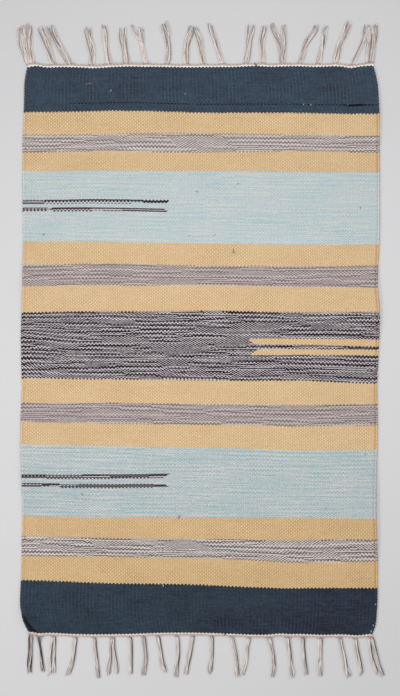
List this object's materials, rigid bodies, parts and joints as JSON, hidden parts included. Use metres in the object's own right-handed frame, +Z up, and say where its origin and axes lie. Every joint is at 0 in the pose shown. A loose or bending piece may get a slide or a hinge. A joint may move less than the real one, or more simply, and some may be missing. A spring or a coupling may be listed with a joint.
{
  "type": "kilim rug",
  "caption": "Flat-woven cotton kilim rug with weft bands, short inlaid bars, cream twined ends and a fringe of loose warp bunches.",
  "frame": {"origin": "on the floor under the middle of the rug, fringe included", "axes": "+Z up from the floor, +Y along the warps towards the far end, +X across towards the right selvedge"},
  "size_m": [0.6146, 1.0998, 0.0085],
  "materials": {
    "weft_cotton": "matt ribbed cotton weave",
    "warp_cotton": "undyed twisted cotton yarn"
  },
  "bodies": {
    "root": {"field": "weft_cotton", "fringe_back": "warp_cotton", "fringe_front": "warp_cotton"}
  },
  "joints": []
}
